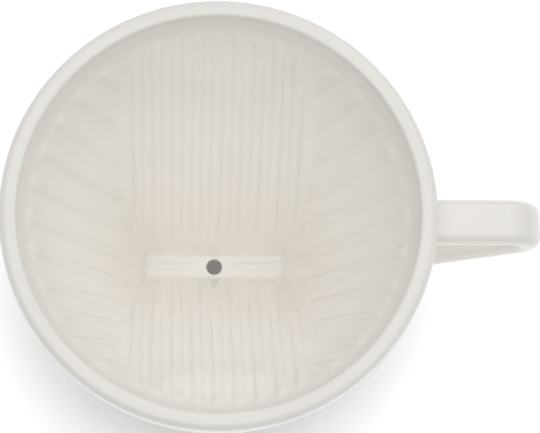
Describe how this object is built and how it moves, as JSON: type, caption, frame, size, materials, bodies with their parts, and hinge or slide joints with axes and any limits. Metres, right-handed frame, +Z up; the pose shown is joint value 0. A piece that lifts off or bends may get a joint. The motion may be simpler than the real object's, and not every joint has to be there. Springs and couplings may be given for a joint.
{
  "type": "pour over dripper",
  "caption": "Ribbed porcelain filter cone that narrows to a slot with a drip hole, on a round base plate with a centring ring and a strap handle.",
  "frame": {"origin": "on the axis of the drip hole, at the underside of the centring ring, which is what the dripper stands on", "axes": "+Z up out of the cone's mouth; +X towards the handle; the cone's two flat walls face +Y and -Y"},
  "size_m": [0.1433, 0.114, 0.096],
  "materials": {
    "glazed_porcelain": "gloss",
    "bare_porcelain": "matt",
    "glazed_slip": "gloss"
  },
  "bodies": {
    "root": {"cone_body": "glazed_porcelain", "base_plate": "glazed_porcelain", "centring_ring": "bare_porcelain", "handle": "glazed_porcelain", "handle_top_joint": "glazed_slip", "handle_lower_joint": "glazed_slip", "base_joint": "glazed_slip"}
  },
  "joints": []
}
